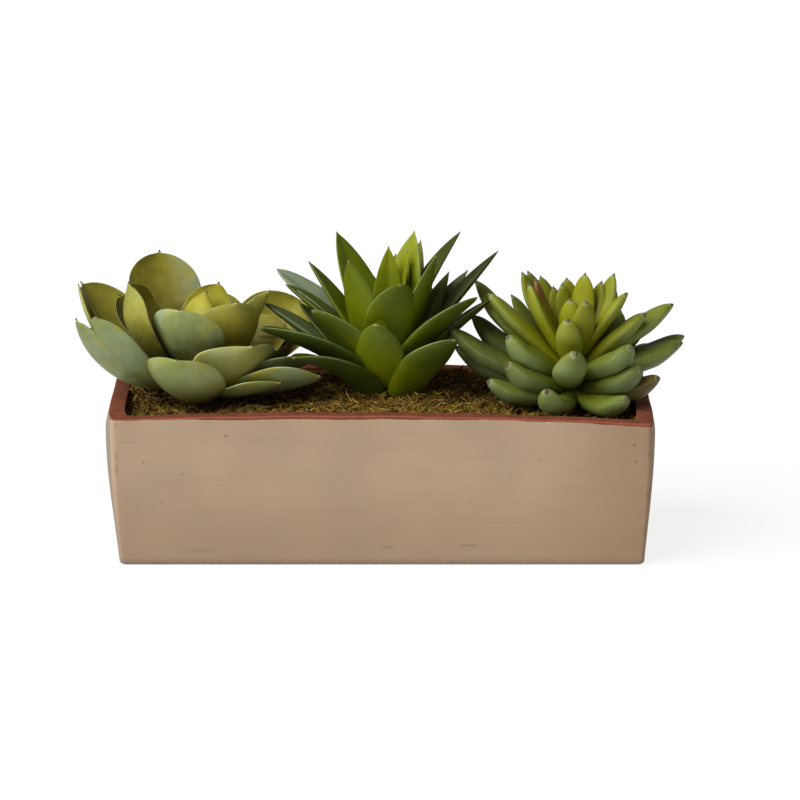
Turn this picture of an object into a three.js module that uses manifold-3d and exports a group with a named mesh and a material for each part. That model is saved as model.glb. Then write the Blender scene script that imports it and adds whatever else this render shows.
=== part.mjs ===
// Succulent dish garden: three rosettes rooted in moss and soil in a painted terracotta trough.
// Units are millimetres. +Z is up, +X is right, +Y is away from the viewer.
// The origin is the middle of the planter's base.

import * as THREE from 'three';
import { mergeVertices } from 'three/addons/utils/BufferGeometryUtils.js';
import Module from 'manifold-3d';

const wasm = await Module();
wasm.setup();

// Driving dimensions

const LENGTH = 280;
const DEPTH = 117;
const HEIGHT = 80;
const WALL = 8.5;
const FLOOR = 9;
const CORNER = 2;
const INNER_CORNER = 3;
const FIT_GAP = 0.3;

const FOOT_TAPER = 3.2;
const BELLY = 0.6;
const FOOT_ROUNDING = 1.2;
const END_BOW = 4.8;
const RIGHT_BOW_SHARE = 0.6;
const LONG_WALL_SHARE = 0.6;

const SOIL_TOP = 62;
const MOSS_LEVEL = 72.5;
const STEM_RADIUS = 4.5;
const STEM_FOOT = 34;

const TERRACOTTA_SLIP = { color: 0xb0987c, roughness: 0.85, metalness: 0 };
const SOIL = { color: 0x2a1e12, roughness: 1, metalness: 0 };
const MOSS = { color: 0x5a4a12, roughness: 1, metalness: 0 };
const BLUE_GREEN_LEAF = { color: 0x7f9575, roughness: 0.6, metalness: 0 };
const GREEN_LEAF = { color: 0x557330, roughness: 0.55, metalness: 0 };
const OLIVE_LEAF = { color: 0x64823c, roughness: 0.5, metalness: 0 };

// Leaf kinds. Widths and thicknesses are shares of a leaf's length or width.
// stations are where the sections stand, from the root (0) to the tip (1); section holds the
// angles of a section's corners: 0 and 180 are the leaf's two edges, 90 the middle of its upper
// face and 270 the keel below.

const SPOON_LEAF = {
  stations: [0, 0.04, 0.26, 0.5, 0.7, 0.86, 0.96, 1],
  section: [0, 60, 120, 180, 240, 300],
  widestAt: 0.66, rootWidth: 0.3, rise: 1.15, shoulder: 2.3, taper: 0.55,
  pointFrom: 0.975, pointWidth: 0.05,
  topThickness: 0.03, bottomThickness: 0.06, cup: 0.34, keel: 0.8, nose: 0,
  fullness: (u) => Math.sqrt(1 - u ** 3) * (0.75 + 0.25 * Math.cos(Math.PI * u)) + 0.12,
};

const POINTED_LEAF = {
  stations: [0, 0.04, 0.24, 0.46, 0.68, 0.86, 0.95, 1],
  section: [0, 60, 120, 180, 270],
  widestAt: 0.46, rootWidth: 0.62, rise: 1, shoulder: 2.1, taper: 0.88,
  pointFrom: 0.99, pointWidth: 0.05,
  topThickness: 0.04, bottomThickness: 0.15, cup: 0.12, keel: 1, nose: 0,
  fullness: (u) => Math.sqrt(1 - u ** 2.2),
};

const FINGER_LEAF = {
  stations: [0, 0.04, 0.32, 0.62, 0.86, 1],
  section: [0, 60, 120, 180, 240, 300],
  widestAt: 0.62, rootWidth: 0.5, rise: 1, shoulder: 2.2, taper: 0.62,
  pointFrom: 0.975, pointWidth: 0.1,
  topThickness: 0.28, bottomThickness: 0.36, cup: 0, keel: 1, nose: 0.17,
  fullness: (u) => (u < 0.62
    ? 0.62 + 0.38 * Math.sin((Math.PI / 2) * (u / 0.62))
    : (1 - ((u - 0.62) / 0.38) ** 2.2) ** 0.62),
};

// Shares of a leaf's length: its section is fully open and cupped from OPEN_FROM on, and its nose
// turns back up from NOSE_FROM to the tip. A cupped blade is narrower by CUP_NARROWING of its cup.

const OPEN_FROM = 0.35;
const NOSE_FROM = 0.7;
const CUP_NARROWING = 0.25;

// One leaf: azimuth and pitch of the line from root to tip in degrees, then length and width.
// bend is the whole turn of the midrib from root to tip, upward where positive; sweep is its
// turn sideways; roll turns the blade about its midrib; rise lifts the root above the crown's
// lowest root; out moves the root outward; fat scales the thickness; nose drops the belly below
// the line from root to tip, as a share of the width. taper below its kind's makes a blunter tip,
// and widestAt moves the widest place.

const leaf = (azimuth, pitch, length, width, shape = {}) => ({ azimuth, pitch, length, width, ...shape });

const SPOON_LEAVES = [
  // lowest leaves, from the left round the front to the right
  leaf(200, 29, 86, 40, { bend: 100, roll: 4, rise: 5 }),
  leaf(213, 35, 84, 41, { bend: 95, roll: 8, cup: 0.4, rise: 3 }),
  leaf(-99, 31, 66, 47, { bend: 70, roll: -8, rise: -5 }),
  leaf(-48, 34, 58, 52, { bend: 65, roll: -10, rise: -1 }),
  leaf(-32, 12, 56, 38, { bend: 30, rise: -3 }),
  leaf(-21, 13, 73, 40, { bend: 15, roll: -26, rise: -5, cup: 0.2 }),
  leaf(-8, 14.5, 67, 41, { bend: 28, roll: -14 }),
  leaf(2, 24, 54, 42, { bend: 35, roll: 6, cup: 0.4 }),
  leaf(22, 32, 60, 42, { bend: 35, roll: 18 }),
  leaf(32, 30, 78, 47, { bend: 30, roll: 38, cup: 0.5 }),
  // lowest leaves at the back
  leaf(62, 24, 66, 42, { bend: 50 }),
  leaf(96, 22, 64, 43, { bend: 55 }),
  leaf(132, 28, 70, 43, { bend: 55 }),
  leaf(158, 22, 72, 42, { bend: 50 }),
  // middle leaves
  leaf(180, 41.5, 90, 38, { bend: 80, cup: 0.15 }),
  leaf(156, 36, 88, 42, { bend: 50, roll: -4, cup: 0.45 }),
  leaf(-104, 56, 60, 45, { bend: 40, roll: -9 }),
  leaf(-42, 57, 57, 42, { bend: 55, roll: -20, rise: 4 }),
  leaf(-2, 51, 63, 26, { bend: 40, roll: -14, rise: 4, cup: 0.6 }),
  leaf(80, 38, 62, 42, { bend: 45, rise: 4 }),
  leaf(146, 37, 66, 42, { bend: 45, rise: 4 }),
  // inner leaves
  leaf(116, 56, 75, 43, { bend: 35, sweep: -45, rise: 4, out: 3 }),
  leaf(184, 56, 68, 48, { bend: 75, roll: -6, rise: 4, cup: 0.6, nose: 0.08 }),
  leaf(45, 72, 53, 40, { bend: 40, rise: 4 }),
  leaf(72, 61, 51, 32, { bend: 40, rise: 4 }),
  leaf(200, 98, 52, 44, { bend: 110, rise: 6, cup: 0.45 }),
];

const POINTED_LEAVES = [
  // lowest leaves, from the left round the front to the right
  leaf(176, 36, 81, 24, { bend: -12, fat: 1.3, taper: 0.7 }),
  leaf(198, 29.5, 83, 35, { bend: -38, roll: 8, fat: 1.3, taper: 0.65 }),
  leaf(208, 48, 67, 36, { bend: -25, roll: 8, fat: 1.3, taper: 0.5 }),
  leaf(217, 28, 64, 30, { bend: -50, roll: 6, rise: -1.5, out: 8, fat: 1.3, taper: 0.6 }),
  leaf(-101, 54, 56, 28, { bend: 30, fat: 1.2, taper: 0.6 }),
  leaf(-39, 45, 52, 32, { bend: -30, roll: -12, rise: -1, out: 9, fat: 1.3, taper: 0.7 }),
  leaf(-20, 48, 76, 31, { bend: -38, roll: -8, fat: 1.2, taper: 0.55 }),
  leaf(6, 42, 74, 24, { bend: -20, roll: -8, fat: 1.3, taper: 0.7 }),
  // lowest leaves at the back
  leaf(30, 32, 50, 24, { bend: -25 }),
  leaf(52, 26, 66, 26, { bend: -25 }),
  leaf(66, 40, 74, 26, { bend: -20 }),
  leaf(84, 22, 68, 27, { bend: -30 }),
  leaf(100, 38, 72, 26, { bend: -20 }),
  leaf(118, 24, 68, 26, { bend: -25 }),
  leaf(140, 34, 72, 26, { bend: -20 }),
  leaf(158, 41, 68, 24, { bend: 0 }),
  // middle leaves
  leaf(-77, 65, 67, 29, { bend: -10, sweep: 45, roll: -4, rise: 4, fat: 1.2, taper: 0.5, widestAt: 0.6 }),
  leaf(-132, 67, 79, 28, { bend: 10, rise: 4 }),
  leaf(172, 44, 77, 25, { bend: -28, rise: 4, taper: 0.7 }),
  leaf(158, 42, 87, 31, { bend: -28, rise: 4, taper: 0.6 }),
  leaf(165, 56, 78, 22, { bend: -12, rise: 4 }),
  leaf(115, 56, 74, 25, { bend: -10, rise: 4 }),
  leaf(84, 58, 74, 25, { bend: -10, rise: 4 }),
  leaf(35, 55, 69, 20, { bend: 10, rise: 4 }),
  leaf(28, 50, 75, 20, { bend: -10, rise: 4 }),
  leaf(10, 50, 92, 22, { bend: -10, rise: 4 }),
  leaf(20, 63, 91, 22, { bend: -32, rise: 4 }),
  leaf(-25, 69, 78, 28, { bend: 0, rise: 4 }),
  // inner leaves
  leaf(135, 62, 83, 27, { bend: -12, rise: 8 }),
  leaf(128, 62, 68, 24, { bend: 10, rise: 8 }),
  leaf(88, 84, 70, 18, { bend: 0, rise: 8 }),
  leaf(55, 72, 79, 25, { bend: -5, rise: 8 }),
  leaf(62, 61, 77, 20, { bend: -5, rise: 8 }),
  leaf(50, 77, 69, 14, { bend: 0, rise: 8 }),
  leaf(20, 80, 62, 12, { bend: 0, rise: 8 }),
];

const FINGER_LEAVES = [
  // lowest leaves, from the left round the front to the right
  leaf(158, 30, 67, 18, { bend: 0 }),
  leaf(176, 18, 66, 19, { bend: 5 }),
  leaf(184, 26, 73, 19, { bend: 5 }),
  leaf(205, 9, 52, 18, { bend: 20 }),
  leaf(-110, 10, 48, 16, { bend: 30, nose: 0.3 }),
  leaf(-48, 0, 41, 19, { bend: 20 }),
  leaf(-24, 11, 50, 18, { bend: 10 }),
  leaf(6, 21, 63, 18, { bend: -25 }),
  leaf(18, 20, 67, 17, { bend: -20 }),
  // lowest leaves at the back
  leaf(42, 14, 58, 19, { bend: 10 }),
  leaf(66, 10, 54, 19, { bend: 15 }),
  leaf(92, 12, 52, 19, { bend: 15 }),
  leaf(118, 10, 54, 19, { bend: 15 }),
  leaf(142, 14, 56, 19, { bend: 10 }),
  // middle leaves
  leaf(212, 20, 46, 19, { bend: 10, rise: 2 }),
  leaf(-38, 18, 47, 19, { bend: 10, rise: 2 }),
  leaf(-90, 32, 43, 18, { bend: 10, sweep: 40, rise: 4 }),
  leaf(207, 30, 47, 19, { bend: 5, rise: 8 }),
  leaf(-44, 26, 46, 19, { bend: 0, rise: 8 }),
  leaf(-6, 42, 52, 18, { bend: -28, rise: 6, fat: 0.8, nose: 0.1 }),
  leaf(12, 35, 67, 19, { bend: -28, rise: 4, fat: 0.8, nose: 0.1 }),
  leaf(34, 32, 56, 18, { bend: -10, rise: 4 }),
  leaf(54, 32, 54, 18, { bend: 0, rise: 4 }),
  leaf(80, 32, 54, 18, { bend: 0, rise: 4 }),
  leaf(104, 34, 54, 18, { bend: 0, rise: 4 }),
  leaf(128, 32, 56, 18, { bend: 0, rise: 4 }),
  leaf(142, 44, 58, 12, { bend: -10, rise: 4, fat: 0.7 }),
  leaf(155, 40, 75, 17, { bend: 0, rise: 4, fat: 0.8 }),
  leaf(176, 45, 65, 17, { bend: -18, rise: 4, fat: 0.8, nose: 0.1 }),
  leaf(50, 50, 54, 16, { bend: -10, rise: 8, fat: 0.8 }),
  leaf(76, 50, 52, 16, { bend: -10, rise: 8, fat: 0.8 }),
  leaf(112, 48, 54, 16, { bend: -10, rise: 8, fat: 0.8 }),
  // inner leaves
  leaf(-101, 55, 39, 14, { bend: 10, rise: 10, nose: 0.15 }),
  leaf(-68, 69, 43, 14, { bend: 5, rise: 10, fat: 0.8, nose: 0.1 }),
  leaf(-110, 81, 40, 13, { bend: 5, rise: 10, fat: 0.7, nose: 0.1 }),
  leaf(190, 62, 53, 17, { bend: 0, rise: 10, fat: 0.65, nose: 0.1 }),
  leaf(168, 66, 52, 14, { bend: 0, rise: 10, fat: 0.65, nose: 0.1 }),
  leaf(150, 57, 58, 15, { bend: 0, rise: 10, fat: 0.65, nose: 0.1 }),
  leaf(138, 56, 58, 14, { bend: 0, rise: 10, fat: 0.65, nose: 0.1 }),
  leaf(125, 56, 54, 14, { bend: 0, rise: 10, fat: 0.65, nose: 0.1 }),
  leaf(118, 61, 46, 11, { bend: 0, rise: 10, fat: 0.65, nose: 0.1 }),
  leaf(108, 66, 46, 11, { bend: 0, rise: 10, fat: 0.65, nose: 0.1 }),
  leaf(98, 62, 50, 14, { bend: 0, rise: 10, fat: 0.6, nose: 0.1 }),
  leaf(62, 75, 51, 14, { bend: 0, rise: 10, fat: 0.6, nose: 0.1 }),
  leaf(68, 73, 44, 10, { bend: 0, rise: 10, fat: 0.65, nose: 0.1 }),
  leaf(45, 64, 49, 13, { bend: 0, rise: 10, fat: 0.65, nose: 0.1 }),
  leaf(35, 61, 55, 15, { bend: 0, rise: 10, fat: 0.6, nose: 0.1 }),
  leaf(-10, 56, 51, 16, { bend: -22, rise: 10, fat: 0.7, nose: 0.05 }),
];

// The three rosettes. centre is the lowest leaves' root; crown is the fleshy top of the stem
// that the leaves grow from; parting is the cone of room that the moss leaves below the leaves.

const ROSETTES = [
  {
    name: 'rosette_spoon_leaves', centre: [-98, -2, 84], kind: SPOON_LEAF, leaves: SPOON_LEAVES,
    crown: { radius: 9, height: 17, middle: 87 }, finish: BLUE_GREEN_LEAF,
    parting: { narrow: 24, wide: 44, low: 73, high: 80 },
  },
  {
    name: 'rosette_pointed_leaves', centre: [3, -2, 80], kind: POINTED_LEAF, leaves: POINTED_LEAVES,
    crown: { radius: 9, height: 22, middle: 86 }, finish: GREEN_LEAF,
    parting: { narrow: 13, wide: 28, low: 72, high: 85 },
  },
  {
    name: 'rosette_finger_leaves', centre: [101, -6, 84], kind: FINGER_LEAF, leaves: FINGER_LEAVES,
    crown: { radius: 9, height: 24, middle: 88 }, finish: OLIVE_LEAF,
    parting: { narrow: 24, wide: 44, low: 72, high: 80 },
  },
];

// Mounds and hollows of the moss: place, height and radius of each.

const MOSS_MOUNDS = [
  { x: 5, y: 12, height: 8.5, radius: 46 },
  { x: 44, y: 34, height: 5, radius: 16 },
  { x: -28, y: 12, height: 4, radius: 16 },
  { x: -45, y: 38, height: 4, radius: 26 },
  { x: 5, y: -42, height: 4.5, radius: 36 },
  { x: -58, y: -40, height: 3, radius: 20 },
  { x: -127, y: 14, height: 6, radius: 17 },
  { x: 128, y: 28, height: 2, radius: 18 },
  { x: 118, y: -28, height: -3, radius: 24 },
  { x: -130, y: -42, height: -4.5, radius: 20 },
];

// Small helpers

const radians = THREE.MathUtils.degToRad;
const clamp = THREE.MathUtils.clamp;
const easeIn = (t) => THREE.MathUtils.smoothstep(t, 0, 1);

// A closed three.js geometry with only merged positions left.
function closedGeometry(geometry) {
  geometry.deleteAttribute('normal');
  geometry.deleteAttribute('uv');
  return mergeVertices(geometry, 1e-4);
}

// Moves every vertex of a geometry by a function of its position.
function mapVertices(geometry, move) {
  const position = geometry.attributes.position;
  const point = new THREE.Vector3();
  for (let i = 0; i < position.count; i += 1) {
    point.fromBufferAttribute(position, i);
    move(point);
    position.setXYZ(i, point.x, point.y, point.z);
  }
  return geometry;
}

function toSolid(geometry) {
  const closed = closedGeometry(geometry);
  const vertProperties = new Float32Array(closed.attributes.position.array);
  const triVerts = new Uint32Array(closed.index.array);
  return new wasm.Manifold(new wasm.Mesh({ numProp: 3, vertProperties, triVerts }));
}

function toGeometry(solid) {
  const mesh = solid.getMesh();
  const geometry = new THREE.BufferGeometry();
  geometry.setAttribute('position', new THREE.BufferAttribute(new Float32Array(mesh.vertProperties), 3));
  geometry.setIndex(new THREE.BufferAttribute(new Uint32Array(mesh.triVerts), 1));
  geometry.computeVertexNormals();
  return geometry;
}

// The outer shell of the largest body alone, so that a sealed pocket is filled and a scrap is dropped.
function largestShell(solid) {
  return solid.decompose().reduce((a, b) => (b.volume() > a.volume() ? b : a));
}

// An upright cylinder or, with another radius at its top, a cone.
function cylinder(radius, bottom, top, x, y, topRadius = radius, sides = 14) {
  const geometry = new THREE.CylinderGeometry(topRadius, radius, top - bottom, sides);
  geometry.rotateX(Math.PI / 2);
  geometry.translate(x, y, (bottom + top) / 2);
  return toSolid(geometry);
}

// Planter

// A rectangle with rounded corners, centred on the origin. Its short sides have points between
// the corners too, so that they can be bowed.
function roundedRectangle(halfX, halfY, radius) {
  const quarter = Math.PI / 2;
  const between = [-0.8, -0.45, 0, 0.45, 0.8];
  const shape = new THREE.Shape();
  shape.moveTo(halfX - radius, -halfY);
  shape.absarc(halfX - radius, -halfY + radius, radius, -quarter, 0, false);
  between.forEach((share) => shape.lineTo(halfX, halfY * share));
  shape.absarc(halfX - radius, halfY - radius, radius, 0, quarter, false);
  shape.lineTo(-halfX + radius, halfY);
  shape.absarc(-halfX + radius, halfY - radius, radius, quarter, 2 * quarter, false);
  between.forEach((share) => shape.lineTo(-halfX, -halfY * share));
  shape.absarc(-halfX + radius, -halfY + radius, radius, 2 * quarter, 3 * quarter, false);
  return shape;
}

// How far the pressed wall stands out at a height: it tapers to the foot, swells a little at half
// height and is rounded over at the very bottom edge.
function wallOffset(z) {
  const t = clamp(z / HEIGHT, 0, 1);
  const taper = -FOOT_TAPER * (1 - t) ** 1.3;
  const belly = BELLY * Math.sin(Math.PI * t);
  const foot = -FOOT_ROUNDING * clamp(1 - z / 4, 0, 1) ** 2;
  return taper + belly + foot;
}

// How far an end wall stands out beyond its two corners at a height: most a little below the rim.
function endBow(z) {
  const t = clamp(z / HEIGHT, 0, 1);
  const swell = 0.27 + 0.73 * Math.sin((Math.PI / 2) * Math.min(t / 0.85, 1));
  return END_BOW * swell * (1 - 0.36 * easeIn((t - 0.88) / 0.12));
}

// A block with the planter's plan, set in from its outside by inset, whose walls follow the
// offset at each height; the long walls follow it by a lesser share. The end walls bow out almost
// flat between their corners, the right one less.
function planterBlock(inset, radius, bottom, top, steps) {
  const halfX = LENGTH / 2 - inset;
  const halfY = DEPTH / 2 - inset;
  const shape = roundedRectangle(halfX, halfY, radius);
  const geometry = new THREE.ExtrudeGeometry(shape, {
    depth: top - bottom, steps, curveSegments: 3, bevelEnabled: false,
  });
  mapVertices(geometry, (p) => {
    p.z += bottom;
    const offset = wallOffset(p.z);
    const bow = endBow(p.z) * (1 - Math.abs(p.y / halfY) ** 6) * (p.x > 0 ? RIGHT_BOW_SHARE : 1);
    p.x *= 1 + (offset + bow) / halfX;
    p.y *= 1 + (LONG_WALL_SHARE * offset) / halfY;
  });
  return toSolid(geometry);
}

function makePlanter() {
  const outside = planterBlock(0, CORNER, 0, HEIGHT, 10);
  const hollow = planterBlock(WALL, INNER_CORNER, FLOOR, HEIGHT + 5, 6);
  return outside.subtract(hollow);
}

// Soil and moss

// What would fill the hollow from one height to another, a fit gap clear of the walls and floor.
function filling(bottom, top) {
  const inside = planterBlock(WALL + FIT_GAP, INNER_CORNER - FIT_GAP, FLOOR + FIT_GAP, HEIGHT + 8, 6);
  const slab = new THREE.BoxGeometry(LENGTH, DEPTH, top - bottom);
  slab.translate(0, 0, (bottom + top) / 2);
  return inside.intersect(toSolid(slab));
}

function stemHoles(bottom, top) {
  const holes = ROSETTES.map(({ centre: [x, y] }) => cylinder(STEM_RADIUS + FIT_GAP, bottom, top, x, y));
  return holes.reduce((a, b) => a.add(b));
}

function makeSoil() {
  return filling(0, SOIL_TOP).subtract(stemHoles(STEM_FOOT - FIT_GAP, SOIL_TOP + 5));
}

// Height of the moss: a few mounds and hollows, with short waves over them.
function mossHeight(x, y) {
  const mounds = MOSS_MOUNDS.reduce((sum, m) => {
    const distance = Math.hypot(x - m.x, y - m.y) / m.radius;
    return sum + m.height * Math.exp(-(distance ** 2));
  }, 0);
  const waves = 0.9 * Math.sin(x / 5.3 + 0.6) * Math.cos(y / 6.1) + 0.6 * Math.sin(x / 2.9 + y / 4.2);
  return MOSS_LEVEL + mounds + waves;
}

function partings() {
  const cones = ROSETTES.map(({ centre: [x, y], parting: { narrow, wide, low, high } }) => (
    cylinder(narrow, low, high, x, y, wide)));
  return cones.reduce((a, b) => a.add(b));
}

function makeMoss() {
  const bottom = SOIL_TOP + FIT_GAP;
  const sheet = new THREE.BoxGeometry(LENGTH, DEPTH, 10, 46, 18, 1);
  mapVertices(sheet, (p) => {
    p.z = p.z > 0 ? mossHeight(p.x, p.y) : bottom - 5;
  });
  const mat = filling(bottom, HEIGHT + 8).intersect(toSolid(sheet));
  return largestShell(mat.subtract(stemHoles(bottom - 5, HEIGHT + 10)).subtract(partings()));
}

// Leaves

// Half width along a leaf, as a share of its greatest: it swells from the root, then rounds over
// to the tip, where a short narrow point is left.
function halfWidthShare(kind, u) {
  if (u >= 1) return 0;
  if (u < kind.widestAt) {
    const swell = Math.sin((Math.PI / 2) * (u / kind.widestAt)) ** kind.rise;
    return kind.rootWidth + (1 - kind.rootWidth) * swell;
  }
  const s = clamp((u - kind.widestAt) / (kind.pointFrom - kind.widestAt), 0, 1);
  const round = (1 - s ** kind.shoulder) ** kind.taper;
  const point = kind.pointWidth * clamp((1 - u) / (1 - kind.pointFrom), 0, 1);
  return Math.max(round, point);
}

// The midrib as a line of short steps whose heading turns evenly, from the root to the tip.
function midrib(blade, steps = 100) {
  const { azimuth, pitch, length, bend = 0, sweep = 0 } = blade;
  const heading = (u) => {
    const up = radians(pitch + bend * (u - 0.5));
    const round = radians(azimuth + sweep * (u - 0.5));
    return new THREE.Vector3(Math.cos(up) * Math.cos(round), Math.cos(up) * Math.sin(round), Math.sin(up));
  };
  const points = [new THREE.Vector3()];
  for (let i = 0; i < steps; i += 1) {
    points.push(points[i].clone().addScaledVector(heading((i + 0.5) / steps), length / steps));
  }
  const at = (u) => {
    const i = Math.min(Math.floor(u * steps), steps - 1);
    return points[i].clone().lerp(points[i + 1], u * steps - i);
  };
  return { at, heading };
}

// A leaf is a ball drawn out along its midrib: each ring of the ball becomes a lens-shaped
// section, cupped where the kind is, and its two poles become the root and the tip.
function makeLeaf(leafKind, blade, centre) {
  const { taper = leafKind.taper, widestAt = leafKind.widestAt } = blade;
  const kind = { ...leafKind, taper, widestAt };
  const { azimuth, width, roll = 0, rise = 0, out = 0, fat = 1, sweep = 0 } = blade;
  const cup = blade.cup ?? kind.cup;
  const nose = (blade.nose ?? kind.nose) * width;
  const rings = kind.stations.length - 1;
  const line = midrib(blade);
  const outward = new THREE.Vector3(Math.cos(radians(azimuth)), Math.sin(radians(azimuth)), 0);
  const root = new THREE.Vector3(...centre).addScaledVector(outward, out);
  root.z += rise;
  const corners = kind.section.length;
  const ball = closedGeometry(new THREE.SphereGeometry(1, corners, rings));
  mapVertices(ball, (p) => {
    const u = kind.stations[Math.round((Math.acos(clamp(p.y, -1, 1)) / Math.PI) * rings)];
    const pole = u === 0 || u === 1;
    const turned = Math.atan2(p.z, p.x) / (2 * Math.PI) + 0.5;
    const around = radians(kind.section[Math.round(turned * corners) % corners]);
    const tangent = line.heading(u);
    const round = radians(azimuth + sweep * (u - 0.5));
    const side = new THREE.Vector3(-Math.sin(round), Math.cos(round), 0);
    const upper = tangent.clone().cross(side);
    const turn = radians(roll);
    const across = side.clone().multiplyScalar(Math.cos(turn)).addScaledVector(upper, Math.sin(turn));
    const normal = side.clone().multiplyScalar(-Math.sin(turn)).addScaledVector(upper, Math.cos(turn));
    const opened = easeIn(u / OPEN_FROM);
    const halfWidth = (width / 2) * halfWidthShare(kind, u);
    const sine = Math.sin(around);
    const share = sine > 0 ? kind.topThickness * sine : -kind.bottomThickness * Math.abs(sine) ** kind.keel;
    const height = pole ? 0 : fat * width * share * kind.fullness(u);
    const lift = cup * halfWidth * Math.cos(around) ** 2 * opened;
    const drop = nose * opened * (1 - easeIn((u - NOSE_FROM) / (1 - NOSE_FROM)));
    const reach = pole ? 0 : halfWidth * Math.cos(around) * (1 - CUP_NARROWING * cup * opened);
    p.copy(root).add(line.at(u)).addScaledVector(across, reach);
    p.addScaledVector(normal, height + (pole ? 0 : lift) - drop);
  });
  return toSolid(ball);
}

function makeRosette({ centre, kind, leaves, crown }) {
  const [x, y, z] = centre;
  const ball = new THREE.SphereGeometry(1, 10, 6);
  ball.rotateX(Math.PI / 2);
  ball.scale(crown.radius, crown.radius, crown.height / 2);
  ball.translate(x, y, crown.middle);
  const parts = [
    toSolid(ball),
    cylinder(STEM_RADIUS, STEM_FOOT, z + 2, x, y),
    ...leaves.map((blade) => makeLeaf(kind, blade, centre)),
  ];
  return largestShell(parts.reduce((a, b) => a.add(b)));
}

// The assembled dish garden

function piece(name, solid, finish) {
  const mesh = new THREE.Mesh(toGeometry(solid), new THREE.MeshStandardMaterial(finish));
  mesh.name = name;
  return mesh;
}

const dishGarden = new THREE.Group();
dishGarden.name = 'succulent_dish_garden';
dishGarden.add(piece('planter', makePlanter(), TERRACOTTA_SLIP));
dishGarden.add(piece('potting_soil', makeSoil(), SOIL));
dishGarden.add(piece('moss_mat', makeMoss(), MOSS));
for (const rosette of ROSETTES) {
  dishGarden.add(piece(rosette.name, makeRosette(rosette), rosette.finish));
}

export default dishGarden;
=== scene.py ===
# %% [markdown]
# # A dish garden of three succulents
# A long low terracotta trough holds three succulent rosettes, rooted in soil and moss. The solids
# of the model give each piece its place and size. This file dresses them: finely drawn leaves,
# moss made of single strands, a hand-finished clay trough, and a material for each.
#
# The model is loaded first.

import bpy
import numpy as np
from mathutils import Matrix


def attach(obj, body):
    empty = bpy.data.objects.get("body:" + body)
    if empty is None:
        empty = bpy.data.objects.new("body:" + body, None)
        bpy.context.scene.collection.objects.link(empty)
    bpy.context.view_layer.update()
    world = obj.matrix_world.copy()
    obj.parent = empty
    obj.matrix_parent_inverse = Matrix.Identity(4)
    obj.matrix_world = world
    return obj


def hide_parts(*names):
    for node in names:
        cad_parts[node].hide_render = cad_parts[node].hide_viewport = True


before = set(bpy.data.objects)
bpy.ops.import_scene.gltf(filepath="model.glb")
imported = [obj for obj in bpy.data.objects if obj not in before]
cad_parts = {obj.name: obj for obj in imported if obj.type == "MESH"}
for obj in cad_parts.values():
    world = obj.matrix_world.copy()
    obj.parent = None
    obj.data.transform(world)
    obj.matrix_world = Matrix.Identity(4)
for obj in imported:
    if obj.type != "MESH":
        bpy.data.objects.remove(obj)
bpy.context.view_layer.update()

MM = 0.001

# %% [markdown]
# ## Camera
# The camera stands low in front of the trough and looks slightly down. It could be placed by hand,
# but a picture is easier to match when the camera is worked out: one known point, the middle of
# the front rim, is laid on its pixel of an 800 by 800 picture, at a known distance. A long lens
# from far away gives the nearly parallel lines of a product picture.

# %% Camera
PICTURE_PX = 800
FOCAL_PX = 4700
PITCH = np.radians(13.9)
RIM_MIDDLE = np.array([0, -58.5, 80]) * MM
RIM_PIXEL = (382, 418)
RIM_DISTANCE = 2.435
SENSOR_MM = 36

forward = np.array([0, np.cos(PITCH), -np.sin(PITCH)])
upward = np.array([0, np.sin(PITCH), np.cos(PITCH)])
rightward = np.array([1, 0, 0])
off_x = (RIM_PIXEL[0] - PICTURE_PX / 2) / FOCAL_PX
off_y = (RIM_PIXEL[1] - PICTURE_PX / 2) / FOCAL_PX
camera_place = RIM_MIDDLE - RIM_DISTANCE * (forward + off_x * rightward - off_y * upward)

camera_data = bpy.data.cameras.new("camera")
camera_data.lens = FOCAL_PX / PICTURE_PX * SENSOR_MM
camera_data.sensor_width = SENSOR_MM
camera = bpy.data.objects.new("camera", camera_data)
camera.location = camera_place
camera.rotation_euler = (np.pi / 2 - PITCH, 0, 0)
bpy.context.scene.collection.objects.link(camera)
bpy.context.scene.camera = camera
print("lens in mm:", round(camera_data.lens, 1), "camera at:", np.round(camera_place, 3).tolist())

# %% [markdown]
# ## Small tools
# A few helpers serve every piece. One turns a hex colour, as picked on a screen, into the linear
# numbers that a renderer mixes light with. One adds a shader node with its settings and links.
# Materials are then built up as a painter would: a base colour, and coats over it whose shares
# follow a pattern or a place on the piece. The last one turns arrays of points and faces into a
# mesh: whole arrays are far quicker than adding vertices one at a time.

# %% Colours and shader nodes
def linear(hex_colour):
    """An sRGB hex colour as linear RGBA: each channel is undone from the screen's curve."""
    srgb = np.array([int(hex_colour[i:i + 2], 16) for i in (1, 3, 5)]) / 255
    low = srgb / 12.92
    high = ((srgb + 0.055) / 1.055) ** 2.4
    return (*np.where(srgb <= 0.04045, low, high), 1.0)


def set_inputs(tree, node, inputs):
    """inputs maps a socket's name or number to a value, or to the socket it comes from."""
    for key, value in inputs.items():
        if isinstance(value, bpy.types.NodeSocket):
            tree.links.new(value, node.inputs[key])
        else:
            node.inputs[key].default_value = value


def add_node(tree, kind, inputs=None, **settings):
    """Adds a node with its settings, and sets or links its inputs. kind is the end of its type's
    name, as in ShaderNodeMath."""
    node = tree.nodes.new("ShaderNode" + kind)
    for key, value in settings.items():
        setattr(node, key, value)
    set_inputs(tree, node, inputs or {})
    return node


def new_material(name):
    """A material, its node tree and the surface shader that comes with it."""
    material = bpy.data.materials.new(name)
    material.use_nodes = True
    tree = material.node_tree
    return material, tree, tree.nodes["Principled BSDF"]


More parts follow.
